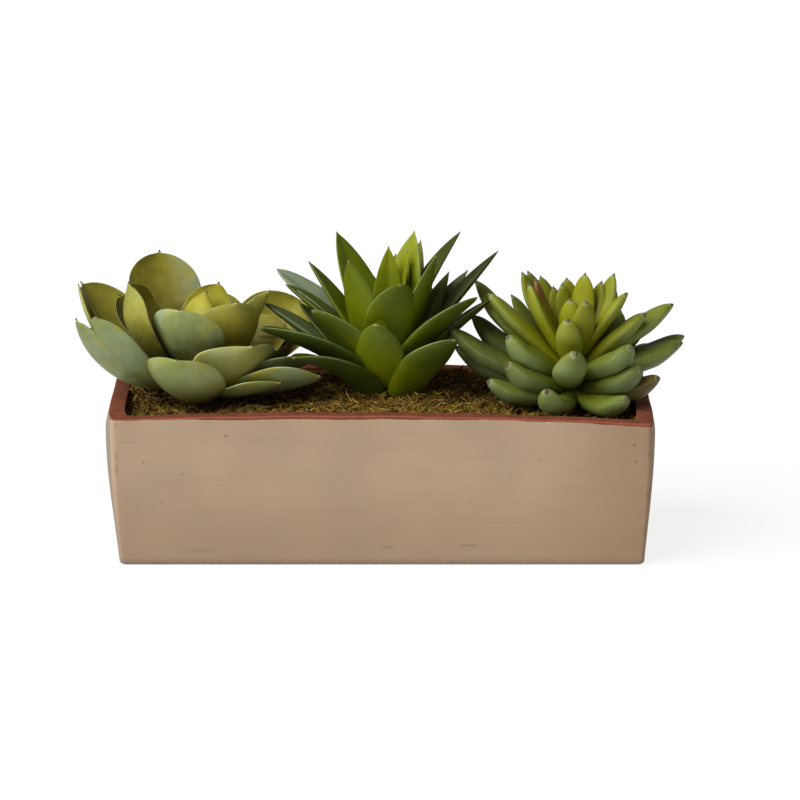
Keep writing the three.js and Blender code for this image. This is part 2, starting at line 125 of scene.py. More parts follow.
# %% Patterns and coats of colour
def mottle(tree, size_mm, detail=3.0, stretch=(1, 1, 1)):
    """Soft noise whose blotches are about size_mm across, from 0 to 1."""
    place = add_node(tree, "TexCoord").outputs["Object"]
    scaled = add_node(tree, "Mapping", {"Vector": place, "Scale": stretch}).outputs[0]
    inputs = {"Vector": scaled, "Scale": 1 / (size_mm * MM), "Detail": detail}
    return add_node(tree, "TexNoise", inputs).outputs["Fac"]


def marks_of(tree, name):
    """The three numbers that a mesh carries at each of its points under this name."""
    vector = add_node(tree, "Attribute", attribute_name=name).outputs["Vector"]
    return add_node(tree, "SeparateXYZ", {0: vector}).outputs


def share(tree, *steps):
    """The product of its steps. A step is a number, a socket, or (value, start, end, low, high):
    it goes smoothly from low to high, or from 0 to 1 without them, as value goes from start to end."""
    sockets = ("Value", "From Min", "From Max", "To Min", "To Max")
    product = None
    for step in steps:
        if isinstance(step, tuple):
            inputs = dict(zip(sockets, step))
            step = add_node(tree, "MapRange", inputs, interpolation_type="SMOOTHSTEP").outputs[0]
        if product is not None:
            step = add_node(tree, "Math", {0: product, 1: step}, operation="MULTIPLY").outputs[0]
        product = step
    return product


def coats(tree, base, *layers):
    """Colours laid over a base, one after the other. A layer is its colour and then the steps whose
    product is its share. A colour is a hex string or a socket."""
    for colour, *steps in layers:
        base, colour = (linear(c) if isinstance(c, str) else c for c in (base, colour))
        inputs = {"Factor": share(tree, *steps), "A": base, "B": colour}
        base = add_node(tree, "Mix", inputs, data_type="RGBA").outputs["Result"]
    return base


# %% Points and faces to a piece
def add_piece(name, points, quads, triangles, material, node, slot, marks=None):
    """A smooth mesh from points in mm. marks maps an attribute's name to three numbers a point."""
    mesh = bpy.data.meshes.new(name)
    mesh.vertices.add(len(points))
    mesh.vertices.foreach_set("co", (np.asarray(points) * MM).astype(np.float32).ravel())
    corners = np.concatenate([np.ravel(quads), np.ravel(triangles)]).astype(np.int32)
    sizes = np.concatenate([np.full(len(quads), 4), np.full(len(triangles), 3)])
    starts = np.concatenate([[0], np.cumsum(sizes)[:-1]]).astype(np.int32)
    mesh.loops.add(len(corners))
    mesh.loops.foreach_set("vertex_index", corners)
    mesh.polygons.add(len(sizes))
    mesh.polygons.foreach_set("loop_start", starts)
    mesh.polygons.foreach_set("use_smooth", np.ones(len(sizes), bool))
    for key, values in (marks or {}).items():
        attribute = mesh.attributes.new(key, "FLOAT_VECTOR", "POINT")
        attribute.data.foreach_set("vector", np.asarray(values, np.float32).ravel())
    mesh.update(calc_edges=True)
    mesh.validate()
    mesh.materials.append(material)
    piece = bpy.data.objects.new(name, mesh)
    bpy.context.scene.collection.objects.link(piece)
    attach(piece, "root")
    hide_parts(node)
    print(name, "has", len(points), "points and", int(np.sum(sizes - 2)), "triangles")


# %% Faces of tubes
def grid_faces(rings, around):
    """Quads between neighbouring rings of a closed tube whose points are numbered ring by ring."""
    i, j = np.meshgrid(np.arange(rings - 1), np.arange(around), indexing="ij")
    a = i * around + j
    b = i * around + (j + 1) % around
    return np.stack([a, b, b + around, a + around], -1).reshape(-1, 4)


def capped_faces(rings, around):
    """Faces of a tube with a pole at each end: point 0, then the rings, then the last point."""
    quads = grid_faces(rings, around) + 1
    j = np.arange(around)
    k = (j + 1) % around
    first = np.stack([np.zeros_like(j), k + 1, j + 1], -1)
    last_ring = 1 + (rings - 1) * around
    last = np.stack([last_ring + j, last_ring + k, np.full_like(j, last_ring + around)], -1)
    return quads, np.concatenate([first, last])


def repeat_faces(faces, copies, points_each):
    """The same faces for each of several copies laid one after the other in the point list."""
    shift = np.arange(copies)[:, None, None] * points_each
    return (faces[None] + shift).reshape(-1, faces.shape[1])


def ease_in(t):
    """0 below 0, 1 above 1, and 3t^2 - 2t^3 between."""
    t = np.clip(t, 0, 1)
    return t * t * (3 - 2 * t)


# %% [markdown]
# ## The trough
# The real one is pressed clay, fired and painted on its outside with a matt slip. Its long walls
# are flat and meet the ends in crisp corners, the end walls stand out like flat cushions, and it
# narrows to the foot. A block with bevels would be too perfect. Here one cross-section of the
# wall, from the middle of the floor over the rim and down to the middle of the base, is carried
# round the plan, and slow waves a fraction of a millimetre high make the surface look hand-made.

# %% Trough sizes in mm
LENGTH, DEPTH, HEIGHT = 280, 117, 80
WALL, FLOOR = 8.5, 9
CORNER, INNER_CORNER = 2, 3
RIM_EDGE, FOOT_EDGE = 0.9, 2.4
FOOT_TAPER, BELLY = 3.2, 0.6
END_BOW, RIGHT_BOW_SHARE = 4.8, 0.6
LONG_WALL_SHARE = 0.6
WAVE_HEIGHT, STILL_FOOT = 0.3, 6
RIM_LIFT, RIM_TILT, RIM_SAG, SAG_REACH = 1.1, 1.15, 3.25, 20


# %% Plan and walls
def plan_outline(half_x, half_y, radius, bow, corner_steps=7, long_steps=70, end_steps=34):
    """Points round a rectangle with rounded corners. The short sides then move outward by
    bow * (1 - |y / half_y|^6), which is almost flat between the corners; the right one moves less."""
    turn = np.linspace(0, np.pi / 2, corner_steps + 1)
    arc = np.stack([np.cos(turn), np.sin(turn)], -1) * radius
    along = np.linspace(-1, 1, long_steps + 1)[1:-1] * (half_x - radius)
    across = np.sin(np.linspace(-1, 1, end_steps + 1)[1:-1] * np.pi / 2) * (half_y - radius)
    right = np.stack([np.full_like(across, half_x), across], -1)
    far_right = arc + [half_x - radius, half_y - radius]
    far = np.stack([along[::-1], np.full_like(along, half_y)], -1)
    far_left = np.stack([-far_right[::-1, 0], far_right[::-1, 1]], -1)
    ring = np.concatenate([right, far_right, far, far_left, -right, -far_right, -far, -far_left])
    bulge = bow * (1 - np.abs(ring[:, 1] / half_y) ** 6) * ring[:, 0] / half_x
    ring[:, 0] += bulge * np.where(ring[:, 0] > 0, RIGHT_BOW_SHARE, 1)
    return ring


def wall_offset(z):
    """How far the wall stands out at a height: taper to the foot, plus a slight belly."""
    t = np.clip(z / HEIGHT, 0, 1)
    return -FOOT_TAPER * (1 - t) ** 1.3 + BELLY * np.sin(np.pi * t)


def end_bow(z):
    """How far an end wall stands out beyond its corners: a quarter sine up, then in at the rim."""
    t = np.clip(z / HEIGHT, 0, 1)
    swell = 0.27 + 0.73 * np.sin(np.pi / 2 * np.minimum(t / 0.85, 1))
    return END_BOW * swell * (1 - 0.36 * ease_in((t - 0.88) / 0.12))


def slow_waves(x, y, z):
    """A few long sine waves in different directions, each between -1 and 1, averaged."""
    return (np.sin(x / 31 + 1.3 * np.sin(z / 37)) + np.sin(x / 13 + z / 19 + 2.1)
            + np.sin(y / 17 + z / 23 + 0.7) + np.sin(x / 7.3 - z / 9.1 + y / 8.7)) / 4


# %% Section and surface
def wall_section():
    """The wall's section as (inset from the outside, height) from the floor to the base. The rim's
    two edges and the foot are each turned over by a quarter circle."""
    turn = np.linspace(0, np.pi / 2, 5)
    shoulder = HEIGHT - RIM_EDGE
    inner = [(WALL, z) for z in np.linspace(FLOOR, shoulder, 14)[:-1]]
    inner_edge = [(WALL - RIM_EDGE * (1 - np.cos(a)), shoulder + RIM_EDGE * np.sin(a)) for a in turn]
    rim = [(inset, HEIGHT) for inset in np.linspace(WALL - RIM_EDGE, RIM_EDGE, 7)[1:-1]]
    outer_edge = [(RIM_EDGE * (1 - np.sin(a)), shoulder + RIM_EDGE * np.cos(a)) for a in turn]
    outer = [(0, z) for z in np.linspace(shoulder, FOOT_EDGE, 44)[1:-1]]
    foot = [(FOOT_EDGE * (1 - np.cos(a)), FOOT_EDGE * (1 - np.sin(a))) for a in turn]
    base = [(inset, 0) for inset in (8, 24, 44)]
    return np.array(inner + inner_edge + rim + outer_edge + outer + foot + base)


def trough_surface():
    """A ring of the plan for each point of the section, closed by a point in the floor and one in
    the base. The walls take the slow waves above a still foot, and the uppermost SAG_REACH mm are
    lifted by a parabola along x that falls below 0 at both ends, most at the right."""
    rings = []
    for inset, z in wall_section():
        offset = wall_offset(z)
        half_x = LENGTH / 2 + offset - inset
        half_y = DEPTH / 2 + LONG_WALL_SHARE * offset - inset
        radius = CORNER + (INNER_CORNER - CORNER) * min(inset / WALL, 1)
        ring = plan_outline(half_x, half_y, radius, end_bow(z))
        rings.append(np.column_stack([ring, np.full(len(ring), z)]))
    rings = np.array(rings)
    x, y, z = rings[..., 0], rings[..., 1], rings[..., 2]
    wave = slow_waves(x, y, z) * ease_in(z / STILL_FOOT)
    outward = np.stack([x / (LENGTH / 2), y / (DEPTH / 2)], -1) ** 9
    rings[..., :2] += WAVE_HEIGHT * outward * wave[..., None]
    at_rim = ease_in((z - HEIGHT + SAG_REACH) / SAG_REACH)
    side = x / (LENGTH / 2)
    lift = RIM_LIFT - RIM_TILT * side - RIM_SAG * side ** 2 + 0.15 * np.sin(x / 8 + y / 11)
    rings[..., 2] += at_rim * lift
    points = np.concatenate([[[0, 0, FLOOR]], rings.reshape(-1, 3), [[0, 0, 0]]])
    return points, rings.shape[0], rings.shape[1]


# %% [markdown]
# ### Slip and bare clay
# The outside was brushed with a taupe clay slip that dried matt; it stops in an uneven line one
# to three millimetres below the rim, where the red-brown fired clay shows. Up close the slip has
# faint brushed streaks, fine grain, dirt in the corners and a worn, greyer foot. Painted shade
# darkens it towards the foot and towards the right end, and a painted highlight runs along the
# rim's rounded edges. The material finds slip and clay by height on the outside wall, so the line
# needs no texture image. The few pits, stains and scratches are single things, so each is an
# ellipsoid at its own place: inside it the colour changes.

# %% Marks on the slip: centre x and z, half width and half height in mm, strength, colour
SLIP_MARKS = [
    (-81, 70.5, 0.9, 0.6, 0.7, "#5A4634"), (-124, 56, 0.7, 0.8, 0.5, "#6A5540"),
    (-104, 49.5, 1.1, 0.6, 0.4, "#6A5540"), (-114.5, 34.5, 0.8, 0.8, 0.4, "#6A5540"),
    (81.5, 57.5, 0.9, 0.6, 0.45, "#6A5540"), (67, 49, 0.8, 0.7, 0.3, "#6A5540"),
    (46, 35.5, 0.8, 0.7, 0.3, "#6A5540"), (94, 35.5, 0.8, 0.7, 0.3, "#6A5540"),
    (131, 65.5, 0.9, 0.7, 0.7, "#5A4634"), (132, 56.5, 0.8, 0.6, 0.7, "#5A4634"),
    (45.5, 11, 5.5, 0.9, 0.35, "#6E5C48"), (3, 10, 4.0, 0.9, 0.35, "#6E5C48"),
    (-45, 51, 6.5, 3.5, 0.30, "#9A9468"), (-132, 66.7, 6.5, 0.35, 0.5, "#86705A"),
    (-20, 30, 22, 0.4, 0.18, "#947C64"), (70, 24, 16, 0.4, 0.2, "#8C765E"),
    (86.5, 78.8, 2.4, 1.7, 0.8, "#C9B49C"), (-95, 8, 9, 1.2, 0.3, "#7C6A56"),
]
MARK_DEPTH = 8


def slip_marks(tree, place):
    """A coat for each mark: strongest inside half of its ellipsoid on the front wall, then fading
    until a little outside it."""
    layers = []
    for x, z, half_width, half_height, strength, colour in SLIP_MARKS:
        scale = np.array([1 / half_width, 1 / MARK_DEPTH, 1 / half_height])
        centre = np.array([x, -DEPTH / 2, z])
        inputs = {"Vector": place, "Scale": scale / MM, "Location": -centre * scale}
        scaled = add_node(tree, "Mapping", inputs).outputs[0]
        away = add_node(tree, "VectorMath", {0: scaled}, operation="LENGTH").outputs["Value"]
        layers.append((colour, (away, 1.3, 0.5, 0, strength)))
    return layers


# %% Slip-coated terracotta
def fired_clay(tree, grain, down):
    """Red-brown clay, mottled, with a painted highlight along the rim's rounded edges."""
    return coats(tree, "#743A24", ("#5C2E1A", (mottle(tree, 5), 0.3, 0.7)),
                 ("#7C4E38", (grain, 0.6, 0.8, 0, 0.4)),
                 # painted highlight along the rim's rounded edges
                 ("#924C34", (down, 0.0, 0.25), (down, 1.3, 0.6), 0.7))


def brushed_slip(tree, place, grain, corner):
    """Taupe slip: faint clouds and streaks, painted shade towards the foot and the right end, greyer
    at the left end, then the single marks, chips at the corners and a worn foot."""
    x, y, z = add_node(tree, "SeparateXYZ", {0: place}).outputs
    from_middle = add_node(tree, "Math", {0: y}, operation="ABSOLUTE").outputs[0]
    streak = mottle(tree, 8, stretch=(0.15, 0.22, 1.6))
    return coats(
        tree, "#A28972", ("#A99178", (mottle(tree, 55), 0.3, 0.7)),
        ("#988069", (streak, 0.45, 0.75, 0, 0.22)),
        ("#8F7963", (grain, 0.55, 0.8, 0, 0.22)),
        # the next two coats are painted shade: darker towards the foot, then towards the right end
        ("#8D745B", (z, 60 * MM, 0, 0, 0.55)),
        ("#886D51", (x, 70 * MM, 146 * MM, 0, 0.6)),
        ("#84796A", (from_middle, 56.6 * MM, 55 * MM), (x, -120 * MM, -130 * MM), 0.9),
        *slip_marks(tree, place),
        ("#6A5442", (mottle(tree, 3.5, detail=5), 0.52, 0.66), (corner, 0.55, 1.0), 0.6),
        ("#756A5C", (z, 5.5 * MM, 0), (grain, 0.3, 0.6)))


def slip_coated_terracotta():
    """Matt fired clay under its slip. The line between them hangs at a depth below the rim that
    changes along x, made ragged by soft noise. A faint bump gives the slip its thickness."""
    material, tree, shader = new_material("slip_coated_terracotta")
    place = add_node(tree, "TexCoord").outputs["Object"]
    outside, down, corner = marks_of(tree, "wall")
    grain = mottle(tree, 0.9, detail=5)
    ragged = add_node(tree, "Math", {0: mottle(tree, 14), 1: 1.5, 2: -0.75},
                      operation="MULTIPLY_ADD").outputs[0]
    line = add_node(tree, "Math", {0: grain, 1: 0.6, 2: ragged},
                    operation="MULTIPLY_ADD").outputs[0]
    x = add_node(tree, "SeparateXYZ", {0: place}).outputs["X"]
    fall = share(tree, (x, -130 * MM, -70 * MM, -0.5, -1.7))
    climb = share(tree, (x, 10 * MM, 70 * MM, 0, 0.6))
    fall_again = share(tree, (x, 95 * MM, 142 * MM, 0, -0.6))
    for part in (down, fall, climb, fall_again):
        line = add_node(tree, "Math", {0: line, 1: part}, operation="ADD").outputs[0]
    painted = share(tree, (line, 0.2, 0.5), outside)
    slip = brushed_slip(tree, place, grain, corner)
    height = add_node(tree, "Math", {0: painted, 1: 1.2, 2: grain},
                      operation="MULTIPLY_ADD").outputs[0]
    bump = add_node(tree, "Bump", {"Height": height, "Strength": 0.35, "Distance": 0.2 * MM})
    set_inputs(tree, shader, {
        "Base Color": coats(tree, fired_clay(tree, grain, down), (slip, painted)),
        "Roughness": share(tree, (grain, 0.2, 0.8, 0.8, 0.95)),
        "Specular IOR Level": 0.3, "Normal": bump.outputs[0]})
    return material


# %% Make the trough
# The marks of a point are: on the outside or not, mm below the rim, nearness to an upright corner.
DIRT_REACH = 5
points, rings, around = trough_surface()
insets, heights = wall_section().T
first_outside = np.argmax(insets < RIM_EDGE + 0.05)
outside = np.repeat((np.arange(rings) >= first_outside).astype(float), around)
down = np.repeat(HEIGHT - heights, around)
x, y = np.abs(points[1:-1, :2].T)
from_corner = np.hypot(x - LENGTH / 2 + CORNER, y - DEPTH / 2 + CORNER / 2)
marks = np.stack([outside, down, np.clip(1 - from_corner / DIRT_REACH, 0, 1)], -1)
marks = np.concatenate([marks[:1], marks, marks[-1:]])
add_piece("trough", points, *capped_faces(rings, around), slip_coated_terracotta(),
          "planter", "slip_coated_terracotta", {"wall": marks})

# %% [markdown]
# ## Leaves
# Every leaf of the three plants is one ball drawn out along its midrib. Two parameters cover it:
# u runs from the root to the tip and v runs round the section. Three kinds of leaf differ in how
# wide, thick and cupped they are along u: a broad spoon, a keeled blade and a plump finger.
# Modelling one leaf and copying it would look like a pattern, so each leaf has its own heading,
# length, width and bend, and the same lists as in the solids are used.

# %% Leaf kinds
def spoon_fullness(u):
    """Thickness along a spoon leaf: fleshy at the root, thin but not sharp at the tip."""
    return np.sqrt(1 - u ** 3) * (0.75 + 0.25 * np.cos(np.pi * u)) + 0.12


def pointed_fullness(u):
    """Thickness along a pointed leaf: even, then running out to the tip."""
    return np.sqrt(1 - u ** 2.2)


def finger_fullness(u):
    """Thickness along a finger leaf: it swells to three fifths of its length, then rounds over."""
    swell = 0.62 + 0.38 * np.sin(np.pi / 2 * np.clip(u / 0.62, 0, 1))
    close = (1 - np.clip((u - 0.62) / 0.38, 0, 1) ** 2.2) ** 0.62
    return np.where(u < 0.62, swell, close)


SPOON = dict(widest=0.66, root=0.3, rise=1.15, shoulder=2.3, taper=0.55, point_from=0.975,
             point=0.05, top=0.03, bottom=0.06, cup=0.34, keel=0.8, nose=0, groove=0, tip_mm=2.6,
             fullness=spoon_fullness)
POINTED = dict(widest=0.46, root=0.62, rise=1, shoulder=2.1, taper=0.88, point_from=0.99,
               point=0.05, top=0.06, bottom=0.15, cup=0.12, keel=1, nose=0, groove=0.8, tip_mm=2.2,
               fullness=pointed_fullness)
FINGER = dict(widest=0.62, root=0.5, rise=1, shoulder=2.2, taper=0.62, point_from=0.975,
              point=0.1, top=0.28, bottom=0.36, cup=0, keel=1, nose=0.17, groove=0, tip_mm=4.4,
              fullness=finger_fullness)

# %% Leaf surface
RINGS, AROUND = 34, 28
V = np.linspace(0, 2 * np.pi, AROUND, endpoint=False)
OPEN_FROM, NOSE_FROM, CUP_NARROWING = 0.35, 0.7, 0.25
BROAD_LEAF = 42


def half_width_share(leaf, u):
    """It swells from the root as a quarter sine, rounds over to the tip and leaves a short point."""
    swell = np.sin(np.pi / 2 * np.clip(u / leaf["widest"], 0, 1)) ** leaf["rise"]
    swell = leaf["root"] + (1 - leaf["root"]) * swell
    s = np.clip((u - leaf["widest"]) / (leaf["point_from"] - leaf["widest"]), 0, 1)
    close = (1 - s ** leaf["shoulder"]) ** leaf["taper"]
    point = leaf["point"] * np.clip((1 - u) / (1 - leaf["point_from"]), 0, 1)
    return np.where(u < leaf["widest"], swell, np.maximum(close, point))


def midrib(root, azimuth, pitch, bend, sweep, length, u):
    """The running sum of small steps whose heading turns evenly by bend upward and by sweep
    sideways: its points, its tangents and the level directions across it at u, and its end."""
    fine = np.linspace(0, 1, 201)
    up = pitch + bend * (fine - 0.5)
    turn = azimuth + sweep * (fine - 0.5)
    level = np.cos(up)
    heading = np.stack([level * np.cos(turn), level * np.sin(turn), np.sin(up)], -1)
    steps = (heading[1:] + heading[:-1]) / 2 * length / 200
    line = np.concatenate([np.zeros((1, 3)), np.cumsum(steps, 0)]) + root
    middle = np.stack([np.interp(u, fine, line[:, i]) for i in range(3)], -1)
    tangent = np.stack([np.interp(u, fine, heading[:, i]) for i in range(3)], -1)
    turn = azimuth + sweep * (u - 0.5)
    side = np.stack([-np.sin(turn), np.cos(turn), 0 * turn], -1)
    return middle, tangent, side, line[-1]


def leaf_surface(kind, blade, centre, draw):
    """One leaf's points and their marks. Across the midrib lies a lens of half width w, grooved
    above in a blade, and lifted by cup * w * cos^2(v) at its slightly wavy margins."""
    azimuth, pitch, length, width, bend, rise = blade[:6]
    leaf = dict(sweep=0, roll=0, out=0, fat=1) | kind | dict(*blade[6:])
    azimuth, pitch, bend, sweep, roll = np.radians([azimuth, pitch, bend, leaf["sweep"], leaf["roll"]])
    outward = np.array([np.cos(azimuth), np.sin(azimuth), 0])
    root = np.array(centre) + leaf["out"] * outward + [0, 0, rise]
    u = 1 - (1 - np.linspace(0, 1, RINGS + 2)[1:-1]) ** 1.5
    middle, tangent, side, tip = midrib(root, azimuth, pitch, bend, sweep, length, u)
    upper = np.cross(tangent, side)
    across = side * np.cos(roll) + upper * np.sin(roll)
    normal = -side * np.sin(roll) + upper * np.cos(roll)
    opened = ease_in(u / OPEN_FROM)
    drop = leaf["nose"] * width * opened * (1 - ease_in((u - NOSE_FROM) / (1 - NOSE_FROM)))
    middle = middle - normal * drop[:, None]
    half = width / 2 * half_width_share(leaf, u)
    cos, sin = np.cos(V), np.sin(V)
    groove = 1 - leaf["groove"] * np.exp(-(cos / 0.3) ** 2)
    top = leaf["top"] * np.clip(sin, 0, 1) * groove
    bottom = leaf["bottom"] * np.clip(-sin, 0, 1) ** leaf["keel"]
    fullness = leaf["fat"] * width * leaf["fullness"](u)[:, None]
    height = fullness * np.where(sin > 0, top, -bottom)
    lift = leaf["cup"] * half[:, None] * cos ** 2 * opened[:, None]
    wave_size = draw.uniform(0.2, 0.6) * width / BROAD_LEAF
    ripple = np.sin(u * draw.uniform(7, 12) + draw.uniform(0, 6))[:, None] * cos
    ripple = ripple + np.sin(u * draw.uniform(5, 9) + draw.uniform(0, 6))[:, None] * cos ** 2
    lift = lift + wave_size * ripple * cos ** 2 * np.sin(np.pi * u)[:, None]
    reach = half[:, None] * cos * (1 - CUP_NARROWING * leaf["cup"] * opened[:, None])
    risen = normal[:, None] * (lift + height)[..., None]
    rings = middle[:, None] + across[:, None] * reach[..., None] + risen
    points = np.concatenate([[root], rings.reshape(-1, 3), [tip]])
    place = np.stack(np.broadcast_arrays(u[:, None], sin / 2 + 0.5, np.abs(cos)), -1).reshape(-1, 3)
    place = np.concatenate([[[0, 0.5, 0]], place, [[1, 0.5, 1]]])
    near_tip = np.clip(1 - np.linalg.norm(points - tip, axis=1) / leaf["tip_mm"], 0, 1)
    right_share = np.concatenate([[0], np.tile(cos, RINGS), [0]])
    return points, place, near_tip, right_share


# %% Stem and whole plant
def stem_surface(centre, radius, height, middle, stem_radius=4.5, foot=34):
    """A stem from its foot to the crown, which is half an ellipse turned round the upright."""
    stem = [(stem_radius * 0.7, foot), (stem_radius, foot + 1), (stem_radius, middle - height / 2)]
    angle = np.linspace(-np.pi / 3, np.pi / 2, 12)[:-1]
    crown = np.stack([radius * np.cos(angle), middle + height / 2 * np.sin(angle)], -1)
    profile = np.concatenate([stem, crown])
    wide, z = profile[:, :1], profile[:, 1:] + 0 * V
    rings = np.stack([wide * np.cos(V), wide * np.sin(V), z], -1)
    rings[..., :2] += centre[:2]
    ends = [[[*centre[:2], z]] for z in (foot, middle + height / 2)]
    return np.concatenate([ends[0], rings.reshape(-1, 3), ends[1]]), len(profile)


def rosette(name, kind, leaves, centre, crown, material, node, slot, seed):
    """All leaves of a plant and its stem as one mesh. Its marks are the place on the leaf, the
    leaf's own tone, nearness to the heart and tint, and its flush, nearness to the tip and bloom."""
    draw = np.random.default_rng(seed)
    surfaces = [leaf_surface(kind, blade, centre, draw) for blade in leaves]
    points, place, near_tip, right_share = (np.concatenate(parts) for parts in zip(*surfaces))
    each = len(surfaces[0][0])
    tint, blush, cool = (np.array([dict(*blade[6:]).get(key, 0) for blade in leaves])
                         for key in ("tint", "blush", "cool"))
    tone = draw.uniform(0, 1, len(leaves))
    inner = np.clip((np.array([blade[1] for blade in leaves]) - 15) / 55, 0, 1)
    own = np.repeat(np.stack([tone, inner, tint], -1), each, 0)
    cooled = np.clip(np.repeat(cool, each) * (right_share + 0.3), 0, 1)
    flush = np.stack([np.repeat(blush, each), near_tip, cooled], -1)
    stem_points, stem_rings = stem_surface(centre, *crown)
    bare = np.zeros_like(stem_points)
    marks = {"leaf_place": [place, bare], "leaf_own": [own, bare + [0.5, 0, 0]],
             "leaf_flush": [flush, bare]}
    faces = [np.concatenate([repeat_faces(leaf, len(leaves), each), stem + len(points)])
             for leaf, stem in zip(capped_faces(RINGS, AROUND), capped_faces(stem_rings, AROUND))]
    add_piece(name, np.concatenate([points, stem_points]), *faces, material, node, slot,
              {key: np.concatenate(parts) for key, parts in marks.items()})


# %% [markdown]
# ### Leaf colour
# A succulent leaf is waxy. Its colour changes along it and from face to face: the upper face is
# yellower, the underside has a grey-blue bloom, the margin is a thin pale line brightened by a
# painted highlight, and the tip is dark, behind a ring of painted highlight. Near the root, where
# little light comes, painted shade makes the spoon leaves a dark olive, and a second coat of
# painted shade darkens the outer leaves of all three plants. On the pointed and finger leaves the
# root coat is instead a painted yellow-green glow, strongest on the innermost leaves, for the light
# that shines through them. Single leaves differ: some are tinted all over, some are darkened all
# over by painted shade, and a few are flushed red or brown by the sun towards the tip. The marks
# laid down with the mesh say where each point is on its leaf and how its leaf differs, so one set
# of smooth steps paints all of them, and slow noise keeps the steps from looking drawn with a ruler.

# %% Waxy leaf material
def leaf_material(name, paint, margin_from, roughness, bloom_share, inner_share, tip_share,
                  patch_share, shade_and_glow_to):
    """paint maps root, deep, under, upper, bloom, inner, heart, tint, patch, flush, margin and tip
    to hex colours; the shares say how strong some of them get. margin_from is where across the leaf
    its margin begins, and shade_and_glow_to how far up an inner leaf its root colour reaches."""
    material, tree, shader = new_material(name)
    (along, face, edge), (tone, inner, tint), (flush, near_tip, cooled) = (
        marks_of(tree, name) for name in ("leaf_place", "leaf_own", "leaf_flush"))
    soft, wide, speck = mottle(tree, 12), mottle(tree, 26, detail=2), mottle(tree, 1.6, detail=4)
    patch, stain = mottle(tree, 9, detail=4), mottle(tree, 4.5, detail=6)
    shifted = add_node(tree, "Math", {0: soft, 1: 0.5, 2: along},
                       operation="MULTIPLY_ADD").outputs[0]
    tipped = add_node(tree, "Math", {0: speck, 1: 0.4, 2: near_tip},
                      operation="MULTIPLY_ADD").outputs[0]
    shade_and_glow_end = share(tree, (inner, 0.2, 0.9, 0.85, shade_and_glow_to))
    shade_and_glow_start = add_node(tree, "Math", {0: shade_and_glow_end, 1: 0.6}, operation="SUBTRACT").outputs[0]
    colour = coats(
        tree, paint["under"], (paint["upper"], (face, 0.4, 0.62)),
        (paint["bloom"], (shifted, 0.5, 0.9), (shifted, 1.45, 1.05), (face, 0.75, 0.2, 0.2, 1),
         (wide, 0.35, 0.6, 0.45, 1), bloom_share),
        (paint["inner"], (inner, 0.1, 1, 0, inner_share)),
        (paint["heart"], (inner, 0.985, 1, 0, 0.8)),
        (paint["tint"], tint, (shifted, 0.35, 0.85, 0.35, 1), (wide, 0.36, 0.52, 0.45, 1)),
        (paint["bloom"], cooled),
        (paint["patch"], (patch, 0.45, 0.68, 0, patch_share), (edge, 0.3, 0.95, 0.3, 1)),
        # root: painted shade at the root of spoon leaves; a painted yellow-green glow at the root of
        # pointed and finger leaves, strongest on inner leaves
        (paint["root"], (shifted, shade_and_glow_end, shade_and_glow_start), (inner, 0, 0.6, 0.45, 1)),
        # painted shade near the root of outer leaves
        (paint["deep_shade"], (shifted, 0.8, 0.3), (inner, 0.5, 0.1, 0, 0.7)),
        (paint["bloom"], (speck, 0.5, 0.8, 0, 0.07)),
        (paint["flush"], flush, (shifted, 0.75, 1.15)),
        # pale margin line, partly painted highlight
        (paint["margin"], (edge, margin_from, 0.999), (along, 0.4, 0.85, 0, 0.75)),
        # ring of painted highlight behind the dark tip
        (paint["margin"], (tipped, 0.38, 0.52), (tipped, 0.8, 0.6, 0, 0.5)),
        (paint["tip"], (tipped, 0.5, 0.9), tip_share))
    # below 0, tint darkens the whole leaf with painted shade
    value = share(tree, (tone, 0, 1, 0.86, 1.1), (stain, 0.3, 0.7, 0.92, 1.06), (tint, -1, 0, 0.3, 1))
    bump = add_node(tree, "Bump", {"Height": speck, "Strength": 0.12, "Distance": 0.3 * MM})
    toned = add_node(tree, "HueSaturation", {"Color": colour, "Value": value})
    set_inputs(tree, shader, {
        "Base Color": toned.outputs[0],
        "Roughness": share(tree, (soft, 0.3, 0.7, roughness - 0.06, roughness + 0.08)),
        "Specular IOR Level": 0.18, "Normal": bump.outputs[0]})
    return material


# Spoon leaves: their root colour is painted shade.
spoon_skin = leaf_material(
    "waxy_grey_green_leaf",
    dict(root="#2E2602", deep_shade="#3A3A10", under="#7C8840", upper="#74680A", bloom="#98A886",
         inner="#767008", heart="#8A8010", tint="#A49C34", patch="#94902C", flush="#43200A",
         margin="#C2C08E", tip="#3E2620"),
    margin_from=0.985, roughness=0.5, bloom_share=0.62, inner_share=0.4, tip_share=0.9,
    patch_share=0.8, shade_and_glow_to=1.12)
# Pointed leaves: their root colour is a painted glow of light shining through.
pointed_skin = leaf_material(
    "smooth_green_leaf",
    dict(root="#626C00", deep_shade="#1E2806", under="#2E3A08", upper="#3C4802", bloom="#404E26",
         inner="#5A6402", heart="#8E9604", tint="#A8B698", patch="#4A560C", flush="#54381E",
         margin="#8E9A5E", tip="#6E6A4A"),
    margin_from=0.985, roughness=0.48, bloom_share=0.4, inner_share=0.75, tip_share=0.6,
    patch_share=0.2, shade_and_glow_to=1.35)
# Finger leaves: their root colour is a painted glow of light shining through.
finger_skin = leaf_material(
    "plump_waxy_leaf",
    dict(root="#767802", deep_shade="#2E2A08", under="#58641C", upper="#5E680E", bloom="#8A9A66",
         inner="#7A7C00", heart="#868800", tint="#3C4720", patch="#727216", flush="#7E3A12",
         margin="#8E9870", tip="#5C4E40"),
    margin_from=0.995, roughness=0.5, bloom_share=0.72, inner_share=0.85, tip_share=0.8,
    patch_share=0.35, shade_and_glow_to=1.2)
